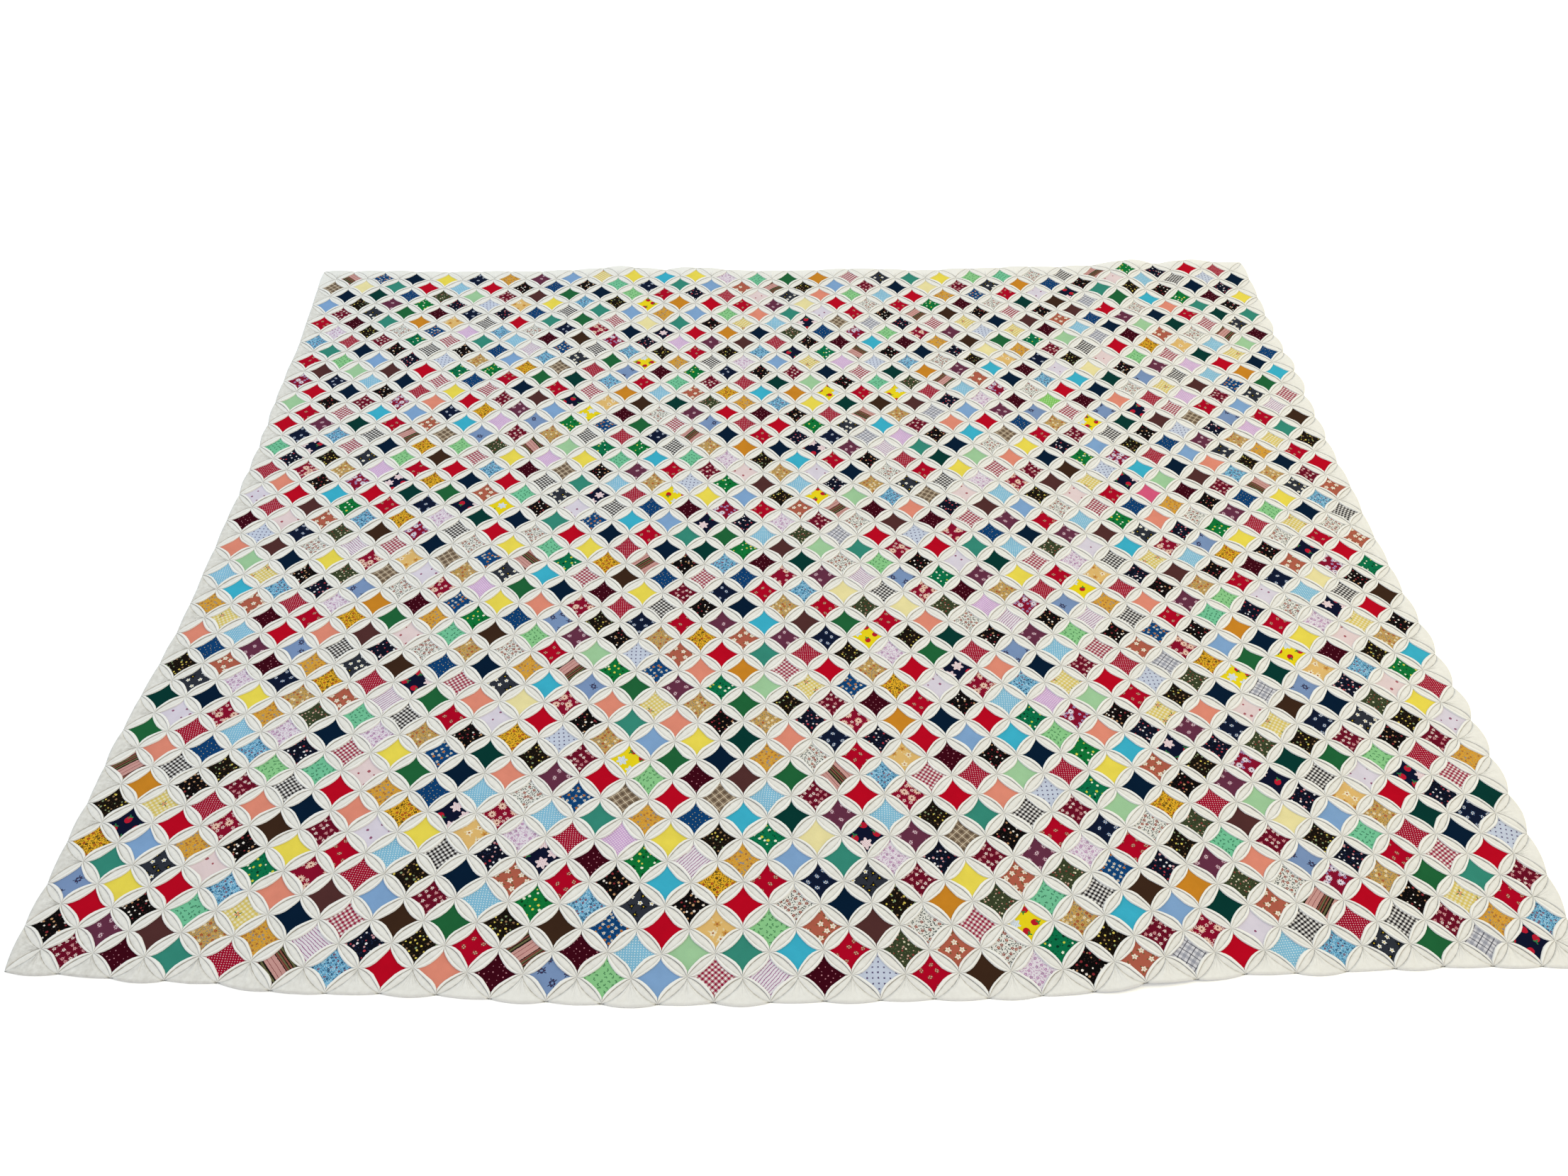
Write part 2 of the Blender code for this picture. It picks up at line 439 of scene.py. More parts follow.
class Recipe:
    """A material in the making: its nodes are added by expressions on wires."""

    def __init__(self, name, roughness, sheen):
        self.material = bpy.data.materials.new(name)
        self.material.use_nodes = True
        self.tree = self.material.node_tree
        self.shader = self.tree.nodes["Principled BSDF"]
        self.shader.inputs["Roughness"].default_value = roughness
        self.shader.inputs["Sheen Weight"].default_value = sheen
        self.shader.inputs["Specular IOR Level"].default_value = COTTON_GLOSS

    def feed(self, socket, value):
        """Links a wire to a socket, or sets its value; a colour may be a code."""
        if isinstance(value, Wire):
            self.tree.links.new(value.socket, socket)
        else:
            socket.default_value = dye(value) if isinstance(value, str) else value

    def node(self, kind, settings, inputs, output=0):
        """Adds a node with its settings first, then its sockets, and gives one of its outputs."""
        node = self.tree.nodes.new(kind)
        for name, value in settings.items():
            setattr(node, name, value)
        for name, value in inputs.items():
            self.feed(node.inputs[name], value)
        return Wire(self, node.outputs[output])

    def math(self, operation, *values):
        """Adds a Math node."""
        return self.node("ShaderNodeMath", {"operation": operation}, dict(enumerate(values)))

    def mixed(self, low, high, share, blend="MIX"):
        """Mixes two colours."""
        settings = {"data_type": "RGBA", "blend_type": blend}
        return self.node("ShaderNodeMix", settings, {0: share, 6: low, 7: high}, 2)

    def cloth(self):
        """Place on the cloth in metres, along and across."""
        place = self.node("ShaderNodeUVMap", {"uv_map": "cloth"}, {})
        split = self.node("ShaderNodeSeparateXYZ", {}, {0: place})
        return split, split.output(1)

    def place(self):
        """Place on the quilt."""
        return self.node("ShaderNodeTexCoord", {}, {}, "Object")

    def value(self, name):
        """A number stored with the points."""
        return self.node("ShaderNodeAttribute", {"attribute_name": name}, {}, "Fac")

    def vector(self, x, y):
        """Makes a vector of two wires."""
        return self.node("ShaderNodeCombineXYZ", {}, {0: x, 1: y})

    def noise(self, vector, scale, detail=2.0):
        """Soft noise from 0 to 1."""
        inputs = {"Vector": vector, "Scale": scale, "Detail": detail}
        return self.node("ShaderNodeTexNoise", {"noise_dimensions": "3D"}, inputs)

    def finished(self, colour, u, v, look, relief):
        """Gives the material its colour and the bump of a plain weave on a relief in metres."""
        turn = 2.0 * math.pi / look.thread_pitch
        threads = (u * turn).cosine() * (v * turn).cosine()
        inputs = {"Strength": 1.0, "Distance": 1.0, "Height": threads * look.thread_depth + relief}
        self.feed(self.shader.inputs["Base Color"], colour)
        self.feed(self.shader.inputs["Normal"], self.node("ShaderNodeBump", {}, inputs))
        return self.material


def dye(code):
    """Linear colour of a six-letter sRGB code."""
    shares = [int(code[k:k + 2], 16) / 255.0 for k in (0, 2, 4)]
    linear = [c / 12.92 if c < 0.04045 else ((c + 0.055) / 1.055) ** 2.4 for c in shares]
    return (*linear, 1.0)


def mixed(low, high, share):
    """Mixes two colours by a wire's share of the second."""
    return share.recipe.mixed(low, high, share)


def reach(x, y):
    """Distance from the middle of a motif."""
    return (x * x + y * y).root()


def oval(x, y, length, width):
    """1 inside an oval of these half sizes."""
    return reach(x / length, y / width) < 1.0


def lobed(x, y, radius, petals):
    """1 inside a flower head of so many petals."""
    return reach(x, y) < (y.arctan2(x) * petals).cosine() * (LOBE_DEPTH * radius) + radius


def ringed(x, y, count, radius, shift=0.0):
    """Folds a motif's plane so that one place at a radius stands for several round its middle."""
    share = y.arctan2(x) * (count / (2.0 * math.pi)) + shift
    angle = share.wrapped() * (2.0 * math.pi / count)
    away = reach(x, y)
    return away * angle.cosine() - radius, away * angle.sine()


def scatter(u, v, loose, size=1.0, shift=0.0, turn=1.0):
    """Motifs scattered at a distance, each turned by up to a share of a full turn.

    Gives each place's offset from its motif's middle, in such distances, and two chances of that motif.
    """
    recipe = u.recipe
    place = recipe.vector(u / size + shift, v / size)
    settings = {"voronoi_dimensions": "2D", "feature": "F1"}
    inputs = {"Vector": place, "Scale": 1.0, "Randomness": loose}
    found = recipe.node("ShaderNodeTexVoronoi", settings, inputs)
    inputs = {0: place, 1: found.output("Position")}
    offset = recipe.node("ShaderNodeVectorMath", {"operation": "SUBTRACT"}, inputs)
    x = recipe.node("ShaderNodeSeparateXYZ", {}, {0: offset})
    y = x.output(1)
    chance = recipe.node("ShaderNodeSeparateColor", {}, {0: found.output("Color")})
    other = chance.output(1)
    angle = other * (2.0 * math.pi * turn)
    cosine = angle.cosine()
    sine = angle.sine()
    return x * cosine + y * sine, y * cosine - x * sine, chance, other


def plain(u, v, ground, *inks):
    """Cloth of one colour, a little mottled by its threads."""
    return mixed(ground, inks[0], 0.6 * u.recipe.noise(u.recipe.vector(u, v), scale=900.0))


def gingham(u, v, ground, *inks):
    """Even woven checks: bare, half and full of the ink."""
    return mixed(ground, inks[0], 0.72 * ((u.fraction() < 0.5) + (v.fraction() < 0.5)))


def pinstripes(u, v, ground, *inks):
    """Thin lines, not quite straight."""
    waver = u.recipe.noise(u.recipe.vector(u, v), scale=0.264) * 0.9
    return mixed(ground, inks[0], abs((u + waver).wrapped()) < 0.12)


def bands(u, v, ground, *inks):
    """A broad plain band with two fine lines, then narrow bands of the inks."""
    stops = (
        (0.17, inks[0]), (0.19, ground), (0.36, inks[0]), (0.38, ground), (0.50, inks[1]),
        (0.57, inks[2]), (0.65, inks[1]), (0.70, inks[3]), (0.77, inks[1]), (0.81, inks[2]),
        (0.88, inks[0]), (0.91, inks[3]), (0.96, inks[1]),
    )
    colour = ground
    place = u.fraction()
    for start, ink in stops:
        colour = mixed(colour, ink, place > start)
    return colour


def plaid(u, v, ground, *inks):
    """Crossing bands of the first ink and thin lines of the second."""
    colour = ground
    for ink, shift, half_width, strength in ((inks[0], 0.0, 0.16, 0.45), (inks[1], 0.5, 0.05, 0.8)):
        for place in (u, v):
            band = abs((place + shift).wrapped()) < half_width
            colour = mixed(colour, ink, band * strength)
    return colour


def pin_dots(u, v, ground, *inks):
    """Small round dots in staggered rows."""
    away = [reach((u + shift).wrapped(), (v + shift).wrapped()) for shift in (0.0, 0.5)]
    return mixed(ground, inks[0], away[0].least(away[1]) < 0.14)


def tiny_dots(u, v, ground, *inks):
    """Sparse pin points."""
    x, y, chance, _ = scatter(u, v, loose=0.6)
    return mixed(ground, inks[0], reach(x, y) < chance * 0.06 + 0.06)


def lozenges(u, v, ground, *inks):
    """Small four-leaved flowers in staggered rows."""
    away = []
    for shift in (0.0, 0.5):
        x, y = (abs((place + shift).wrapped()) for place in (u, v))
        away.append(x + y + 0.6 * x.least(y))
    near = away[0].least(away[1])
    return mixed(mixed(ground, inks[0], near < 0.17), inks[1], near < 0.07)


def flowers(u, v, ground, *inks):
    """Flower heads of the first or second ink with eyes of the third and three leaves of the fourth."""
    x, y, chance, _ = scatter(u, v, loose=0.5)
    leaves = oval(*ringed(x, y, count=3.0, radius=0.33), length=0.12, width=0.055)
    tint = mixed(inks[0], inks[1], chance > 0.6)
    colour = mixed(mixed(ground, inks[3], leaves), tint, lobed(x, y, radius=0.23, petals=5.0))
    return mixed(colour, inks[2], reach(x, y) < 0.085)


def daisies(u, v, ground, *inks):
    """Large and small many-petalled heads with dark eyes."""
    colour = ground
    heads = ((inks[0], 0.62, 0.26, 5.0, 3.7), (inks[1], 1.0, 0.33, 11.0, 0.0))
    for ink, size, radius, petals, shift in heads:
        x, y, chance, _ = scatter(u, v, loose=0.55, size=size, shift=shift)
        head = lobed(x, y, radius, petals) * (chance > 0.35)
        colour = mixed(colour, ink, head)
        colour = mixed(colour, inks[2], (reach(x, y) < 0.09) * head)
    return colour


def close_florals(u, v, ground, *inks):
    """Close flowers of the first two inks over a filling of small leaves of the last two."""
    x, y, chance, _ = scatter(u, v, loose=0.9, size=0.42, shift=3.7)
    tint = mixed(inks[2], inks[3], chance > 0.6)
    colour = mixed(ground, tint, oval(x, y, length=0.46, width=0.17))
    x, y, chance, _ = scatter(u, v, loose=0.7)
    shown = chance > 0.25
    tint = mixed(inks[0], inks[1], chance > 0.68)
    colour = mixed(colour, ground, lobed(x, y, radius=0.33, petals=5.0) * shown)
    colour = mixed(colour, tint, lobed(x, y, radius=0.25, petals=5.0) * shown)
    return mixed(colour, ground, (reach(x, y) < 0.07) * shown)


def posies(u, v, ground, *inks):
    """Sparse posies of four little blossoms round a middle, with leaves between."""
    x, y, _, _ = scatter(u, v, loose=0.4)
    y = y * 1.35
    leaves = oval(*ringed(x, y, count=4.0, radius=0.19, shift=0.5), length=0.13, width=0.030)
    away = reach(*ringed(x, y, count=4.0, radius=0.14))
    colour = mixed(mixed(ground, inks[1], leaves), inks[0], away < 0.072)
    return mixed(colour, inks[2], away < 0.024)


def ditsy(u, v, ground, *inks):
    """Tiny scattered flower heads of three inks and specks of the fourth."""
    x, y, chance, _ = scatter(u, v, loose=1.0, size=0.5, shift=3.7)
    colour = mixed(ground, inks[3], oval(x, y, length=0.28, width=0.13) * (chance > 0.4))
    x, y, chance, other = scatter(u, v, loose=0.85)
    tint = mixed(inks[0], inks[1], chance > 0.36)
    tint = mixed(tint, inks[2], chance > 0.70)
    radius = other * 0.11 + 0.12 + (y.arctan2(x) * 5.0).cosine() * 0.025
    return mixed(colour, tint, reach(x, y) < radius)


def sprigs(u, v, ground, *inks):
    """Scattered sprigs: a stalk with a leaf each side and a bud at its tip."""
    x, y, _, _ = scatter(u, v, loose=0.5)
    sprig = oval(x, y, length=0.30, width=0.035)
    for leaf_x, leaf_y in ((-0.05, 0.12), (0.06, -0.12)):
        sprig = sprig.most(oval(x - leaf_x, y - leaf_y, length=0.13, width=0.06))
    return mixed(mixed(ground, inks[0], sprig), inks[1], reach(x - 0.30, y) < 0.10)


def flowered_check(u, v, ground, *inks):
    """Pale checks with a few soft sprays over them."""
    checks = gingham(u, v, ground, *inks)
    x, y, _, _ = scatter(u, v, loose=0.5, size=5.0)
    leaves = oval(*ringed(x, y, count=3.0, radius=0.13, shift=0.5), length=0.10, width=0.025)
    buds = reach(*ringed(x, y, count=3.0, radius=0.08)) < 0.055
    return mixed(mixed(checks, inks[1], leaves), inks[2], buds)


def fruits(u, v, ground, *inks):
    """Large round fruits with leaves, and pale blossoms dotted with a soft ink between them."""
    x, y, chance, _ = scatter(u, v, loose=0.3, turn=0.4)
    leaves = oval(*ringed(x, y - 0.24, count=3.0, radius=0.08), length=0.12, width=0.05)
    blossom = lobed(x, y, radius=0.34, petals=6.0) * (chance < 0.3)
    colour = mixed(ground, inks[0], oval(x, y, length=0.23, width=0.26) * (chance > 0.3))
    colour = mixed(colour, inks[1], leaves * (chance > 0.3))
    dots = reach((x * 9.0).wrapped(), (y * 9.0).wrapped()) < 0.22
    return mixed(colour, mixed(inks[2], inks[3], dots), blossom)


PRINTS = [Print(*row) for row in (
    ("crimson", plain, "bc0420 c80a28", 1.0, 6.2),
    ("navy", plain, "021a33 0a233d", 1.0, 6.4),
    ("bottle_green", plain, "023632 0a403a", 1.0, 3.4),
    ("forest_green", plain, "1d6238 276d42", 1.0, 3.8),
    ("sea_green", plain, "32897a 409584", 1.0, 3.0),
    ("light_mint", plain, "9fcda0 acd6ac", 1.0, 2.6),
    ("turquoise", plain, "38b1d2 48bcdb", 1.0, 3.2),
    ("cornflower", plain, "7fa6d6 8cb0de", 1.0, 3.4),
    ("yellow", plain, "efdc4e f5e466", 1.0, 3.8),
    ("cream_yellow", plain, "efe3a6 f5ebb8", 1.0, 1.6),
    ("salmon", plain, "e48a76 ec9984", 1.0, 3.6),
    ("ochre", plain, "cd8420 d69132", 1.0, 2.4),
    ("dark_brown", plain, "3a2418 453023", 1.0, 3.6),
    ("chocolate", plain, "502c2c 5c3838", 1.0, 2.6),
    ("hot_pink", plain, "d9547f e0658d", 1.0, 0.2),
    ("maroon_pin_points", tiny_dots, "3f0516 c98a98", 0.0085, 4.6),
    ("crimson_dots", pin_dots, "a2082c ecc0c8", 0.0054, 4.8),
    ("blue_dots", pin_dots, "86c0e0 e8f4fa", 0.0056, 3.0),
    ("lime_dots", pin_dots, "7cc85a eef8e4", 0.0056, 0.2),
    ("pale_lozenges", lozenges, "cbd4ea 33406e 8a5f80", 0.0115, 1.8),
    ("mint_sprigs", sprigs, "76c8a0 1f5f4a 1f5f4a", 0.0080, 2.2),
    ("light_green_sprigs", sprigs, "8fcf92 2c6c42 2c6c42", 0.0080, 2.2),
    ("emerald_ditsy", ditsy, "0a744c f0f2e0 063626 d9d64a 06402e", 0.0105, 1.8),
    ("green_ditsy", ditsy, "0e783a f0f2e0 e2d65a 08401f 0a5a2c", 0.0102, 1.8),
    ("black_ditsy", ditsy, "0c0a0b f4ede6 8f2f38 c79a72 3a2426", 0.0088, 7.6),
    ("brown_black_ditsy", ditsy, "17110c e3cf62 9a7a58 8fa27a 43301f", 0.0080, 5.2),
    ("olive_ditsy", ditsy, "39422c d9b0a4 e6dec4 8f3f3c 5c6a44", 0.0074, 2.6),
    ("black_red_ditsy", ditsy, "0d1122 f0eef2 b03a48 d8a0a8 223052", 0.0092, 3.8),
    ("navy_posies", posies, "101a34 dde4f2 5f7fb4 e2c34e", 0.0170, 3.8),
    ("royal_ditsy", tiny_dots, "0d4076 dcc88a", 0.0068, 1.8),
    ("royal_flowers", flowers, "0f4279 e6e2d2 c9863a a02f38 5f8fc0", 0.0090, 1.8),
    ("slate_flowers", flowers, "30343f f0f0ee 0c0d12 d8b83a 0c0d12", 0.0135, 2.4),
    ("ochre_small_flowers", close_florals, "e0a63c a0653c 7f8798 c88a34 8f8f78", 0.0070, 2.6),
    ("tan_florals", close_florals, "cba25e a4472c f0e2c0 76808a 94803c", 0.0088, 3.2),
    ("gold_florals", close_florals, "e9b02c 9c2a20 1c1a12 2c2a1a 5c5a22", 0.0088, 2.8),
    ("terracotta_roses", flowers, "b4604e f2eadb f2eadb d9b8a0 6a5a34", 0.0165, 2.4),
    ("burgundy_daisies", daisies, "8d0e2e e8c2c0 efc9b8 6a1a1c", 0.0170, 2.0),
    ("burgundy_violets", daisies, "8a1030 b7a0d2 e6dcec 2c1a3c", 0.0150, 2.2),
    ("burgundy_blossom", flowers, "6c0c26 f0e0dc dca0a6 8a2838 a86a70", 0.0100, 4.2),
    ("plum_posies", posies, "67314a efd8e2 b98a9e 67314a", 0.0185, 3.6),
    ("red_posies", posies, "b40426 c9a78a 5c4a44 e2d2c0", 0.0170, 5.2),
    ("blue_florals", close_florals, "78b8de 16305c 7c2438 1d3c68 cfe2ee", 0.0066, 3.2),
    ("mauve_florals", close_florals, "e9e2ee b987b6 a87aa6 c096be cdaccd", 0.0090, 2.2),
    ("rust_florals", close_florals, "e9e8e4 8c3424 9c4630 141f1f 2c4a4b", 0.0092, 3.8),
    ("black_gingham", gingham, "f2f0f0 120a12", 0.00635, 3.8),
    ("red_gingham", gingham, "f4eeee 9c0e3c", 0.00635, 3.6),
    ("lilac_gingham", gingham, "efe0f2 cda0d8", 0.0036, 1.5),
    ("yellow_check", flowered_check, "f0e9cc dfc865 3f6e44 e59a74", 0.00635, 2.8),
    ("white_plaid", plaid, "dcdce6 70758a 2a2c40", 0.0150, 1.0),
    ("tweed_plaid", plaid, "94806c 42342a e0d2bc", 0.0110, 0.8),
    ("mauve_pinstripe", pinstripes, "eae5ee 9c5490", 0.0044, 2.4),
    ("pink_brown_bands", bands, "cf9c98 7a2a30 1c1612 6c6a48 8c5448", 0.0340, 3.6),
    ("dusty_blue", posies, "7d97c4 2c3458 2c3458 6a3048", 0.0300, 2.2),
    ("yellow_fruits", fruits, "f0da1e c01a2c 2c8a3c e6eef6 7a96c8", 0.0230, 1.6),
    ("navy_fruits", fruits, "0e1430 c01a34 2f7a4c efe0e6 d27a90", 0.0250, 2.8),
    ("pale_lilac", tiny_dots, "e0d9ea 94587a", 0.0210, 1.4),
    ("pale_pink", tiny_dots, "ead6da ac5c68", 0.0240, 1.2),
    ("peach_flowers", flowers, "e6bd76 f4e6c8 d09a4a b06a3c e8d2a4", 0.0190, 1.2),
)]


def cotton(kind, look):
    """Finishes a window's cotton: its print, thread tone, weave and soft creases."""
    recipe = Recipe(kind.name, look.roughness, look.print_sheen)
    u, v = recipe.cloth()
    place = recipe.place()
    print_u = (u + recipe.noise(recipe.vector(u, v), scale=330.0) * look.print_waver) / kind.repeat
    print_v = (v + recipe.noise(recipe.vector(v, u), scale=330.0) * look.print_waver) / kind.repeat
    printed = kind.draw(print_u, print_v, *kind.dyes.split())
    tone = recipe.noise(place, scale=45.0) * 0.12 + 0.54
    pulls = recipe.noise(recipe.vector(u * 30.0, v * 150.0), scale=1.0) * look.crease_depth
    creases = recipe.noise(place, scale=60.0) * (2.0 * look.crease_depth) + pulls
    return recipe.finished(recipe.mixed(printed, tone, 1.0, "MULTIPLY"), u, v, look, creases)


def muslin(look, name="muslin", fanned=False):
    """Off-white cotton with painted shade in creases and a painted highlight on crests; flaps have folds
    that fan out as well.
    """
    recipe = Recipe(name, look.roughness, look.sheen)
    u, v = recipe.cloth()
    place = recipe.place()
    # The stored painted shade darkens the muslin above 0 and gives it a painted highlight below 0, mottled
    # by noise.
    shade_amount = recipe.value("crease")
    shade_mottle = recipe.noise(place, scale=170.0, detail=3.0)
    painted_shade_share = (shade_amount * (shade_mottle * 2.4 - 0.2)).least(1.0).most(0.0)
    crest_highlight_share = (shade_amount * (shade_mottle * -0.8 - 0.6)).most(0.0).least(1.0)
    puckers = recipe.noise(place, scale=130.0, detail=3.0) * look.crease_depth
    if fanned:
        out = recipe.value("out")
        ray = recipe.noise(recipe.vector(recipe.value("ray") * 2.6, out * 0.5), scale=1.0)
        line = (1.0 - abs((ray * 4.0).wrapped()) * 9.0).most(0.0) * (0.9 - out).most(0.0)
        # The folds that fan out over the flaps are painted shade lines, also sunk a little as bump.
        painted_shade_share = painted_shade_share.most(line * 0.5)
        puckers = puckers - line * look.fan_depth
    tone = recipe.noise(place, scale=30.0) * 0.07 + 0.965
    slubs = recipe.noise(recipe.vector(u * 90.0, v * 700.0), scale=1.0) * 0.05 + 0.975
    colour = mixed(look.muslin, look.crease, painted_shade_share)
    colour = mixed(colour, look.crest_highlight, crest_highlight_share)
    colour = recipe.mixed(colour, tone * slubs, 1.0, "MULTIPLY")
    return recipe.finished(colour, u, v, look, puckers)


def muslin_back(look):
    """The underside: plain muslin squares whipped together along their edges and tacked in their middles,
    with painted shade in the seams.
    """
    recipe = Recipe("muslin_back", look.roughness, look.sheen)
    u, v = recipe.cloth()
    seam_u, seam_v = (abs((place / SQUARE).wrapped()) * SQUARE for place in (u, v))
    tack_u, tack_v = (abs((place / SQUARE + 0.5).wrapped()) * SQUARE for place in (u, v))
    groove = seam_u.least(seam_v)
    stitch_u = (seam_u < STITCH_REACH) * ((v / STITCH_PITCH).fraction() < 0.35)
    stitch_v = (seam_v < STITCH_REACH) * ((u / STITCH_PITCH).fraction() < 0.35)
    upright = (tack_u < TACK_WIDTH) * (tack_v < TACK_LENGTH)
    level = (tack_v < TACK_WIDTH) * (tack_u < TACK_LENGTH)
    stitches = stitch_u.most(stitch_v).most(upright + level)
    pulled = (1.0 - (tack_u + tack_v) * 90.0).most(0.0)
    valley = (1.0 - groove * 160.0).most(pulled)
    # Painted shade in the seams' grooves and, fainter, in the soft valleys along the seams and round the
    # tacks.
    painted_shade_share = ((groove < 0.0006) * 0.9).most(valley * 0.3)
    colour = mixed(look.muslin, look.crease, painted_shade_share)
    relief = stitches * 0.0003 - (groove < 0.001) * 0.0004 - valley * 0.0012
    return recipe.finished(mixed(colour, THREAD, stitches), u, v, look, relief)


def muslin_of(context):
    """The muslin, made once."""
    return bpy.data.materials.get("muslin") or muslin(context.scene.quilt_cloth)


def chosen_prints(places, seed):
    """Draws a print for each window, never one that a window beside or across from it has."""
    draws = np.random.default_rng(seed)
    shares = np.array([kind.share for kind in PRINTS])
    spots = [(round(2 * s), round(2 * t)) for s, t in places]
    found = {}
    for i, j in spots:
        weights = shares.copy()
        for beside in itertools.product(range(i - 2, i + 3), range(j - 2, j + 3)):
            if beside in found:
                weights[found[beside]] = 0.0
        found[(i, j)] = int(draws.choice(len(PRINTS), p=weights / weights.sum()))
    return np.array([found[spot] for spot in spots])


def stacked(*columns):
    """Joins columns as the last axis, each stretched to the shape of all."""
    return np.stack(np.broadcast_arrays(*columns), axis=-1)


def on_cloth(u, v, draws, count):
    """Cloth coordinates in metres of places in squares, each copy cut from a part of its own."""
    from_u = draws.uniform(0.0, CLOTH_WIDTH, (count, 1))
    from_v = draws.uniform(0.0, CLOTH_WIDTH, (count, 1))
    return stacked(u * SQUARE + from_u, v * SQUARE + from_v)


def window_points(grid, sizes, places):
    """Places and cloth coordinates of every window's points."""
    draws = np.random.default_rng(sizes.seed + 5)
    each = (len(places), 1)
    a = 2.0 * grid[:, 0] - 1.0
    b = 2.0 * grid[:, 1] - 1.0
    tip = (0.5 - sizes.tip_gap + sizes.overlap) * PETAL
    bow = tip - (0.5 * PETAL - sizes.petal_half + sizes.overlap)
    p = a * (tip - bow * (1.0 - b * b))
    q = b * (tip - bow * (1.0 - a * a))
    angle = draws.uniform(0.0, math.pi, each)
    cross = p * np.cos(angle) + q * np.sin(angle) - draws.uniform(-0.1, 0.1, each)
    ridge = np.exp(-(cross / WRINKLE_WIDTH) ** 2) * draws.uniform(-1.0, 1.0, each)
    sag = draws.uniform(0.2, 1.0, each) * (1.0 - a * a) * (1.0 - b * b)
    height = sizes.base + sizes.puff * sag + sizes.wrinkle * ridge * (1.0 - a * a * b * b)
    turn = draws.normal(0.0, sizes.tilt, each) + draws.integers(0, 4, each) * (math.pi / 2)
    points = stacked(places[:, :1] + (p - q) * PETAL, places[:, 1:] + (p + q) * PETAL, height)
    u = p * np.cos(turn) - q * np.sin(turn)
    v = p * np.sin(turn) + q * np.cos(turn)
    return points, on_cloth(u, v, draws, len(places)), {}


def laid_copies(count, columns, rows, sizes, shape, *details):
    """Copies of a sheet that lie where a function of the sheet's even grid has their points."""
    sheet = even_sheet(columns, rows)
    points, uv, values = shape(points_of(sheet), sizes, *details)
    mesh = repeated(sheet, count)
    set_points(mesh, laid(points, sizes))
    set_cloth(mesh, uv)
    for name, column in values.items():
        set_values(mesh, name, np.broadcast_to(column, points.shape[:-1]))
    return mesh


def section(column):
    """A column of the petal's section."""
    return np.array([getattr(point, column) for point in PETAL_SECTION])


def petal_points(grid, sizes, places, order):
    """Places, cloth coordinates and painted shade of the four half petals around each window."""
    draws = np.random.default_rng(sizes.seed + 20 + order)
    count = 4 * len(places)
    share = grid[:, 0] - STEP_EASE * np.sin(2.0 * math.pi * grid[:, 0])
    column = np.round(grid[:, 0] * PETAL_STEPS).astype(int)
    row = np.round(grid[:, 1] * (len(PETAL_SECTION) - 1)).astype(int)
    wider, slimmer, higher, leaning = draws.uniform(-1.0, 1.0, (4, count, 1))
    free = petal_half(share, 1.0, 1.0)
    lean = 1.0 + UNEVEN_LEAN * free * leaning * np.sin(2.0 * math.pi * share)
    waver = draws.uniform(-WAVER, WAVER, (2, count, PETAL_STEPS + 1))
    waver[:, :, 1:-1] = (waver[:, :, :-2] + 2.0 * waver[:, :, 1:-1] + waver[:, :, 2:]) / 3.0
    waver = waver[:, :, column]
    up = np.repeat(places[:, 1:], 4, axis=0) / DEEP
    blunt = NEAR_BLUNT + (FAR_BLUNT - NEAR_BLUNT) * up
    outer = petal_half(share, sizes.petal_half + sizes.petal_gain * up, blunt)
    outer = outer * (1.0 + UNEVEN_RIM * free * wider) * lean
    outer = np.clip(outer + free * waver[0], TINY, PETAL * np.minimum(share, 1.0 - share) + TINY)
    inner = petal_half(share, sizes.slit_half, SLIT_BLUNT) * (1.0 + UNEVEN_SLIT * slimmer) * lean
    inner = np.clip(inner + 0.6 * waver[1], 0.0, WIDEST_SLIT * outer)
    away = section("slit")[row] * inner + section("rim")[row] * (outer - inner)
    side = np.tile(np.arange(4), len(places))[:, None] * (math.pi / 2)
    middle = np.repeat(places, 4, axis=0)
    along_s = np.cos(side) * (0.5 - 0.5 * share) - np.sin(side) * 0.5 * share
    along_t = np.sin(side) * (0.5 - 0.5 * share) + np.cos(side) * 0.5 * share
    rise = petal_half(share, 1.0, RISE_BLUNT) * sizes.hem_height
    rise = rise * (1.0 + UNEVEN_ROLL * higher * (row >= SLIT_POINTS))
    points = stacked(
        middle[:, :1] + along_s - np.cos(side + math.pi / 4) * away,
        middle[:, 1:] + along_t - np.sin(side + math.pi / 4) * away,
        sizes.base + rise * section("height")[row])
    # Painted shade where the petals meet at a node, fading along each petal.
    node_shade_share = np.clip(1.0 - NODE_SHADE_FADE * np.minimum(share, 1.0 - share), 0.0, 1.0) * sizes.node_shade
    crease = np.maximum(section("crease")[row], node_shade_share)
    return points, on_cloth(share * PETAL, away, draws, count), {"crease": crease}


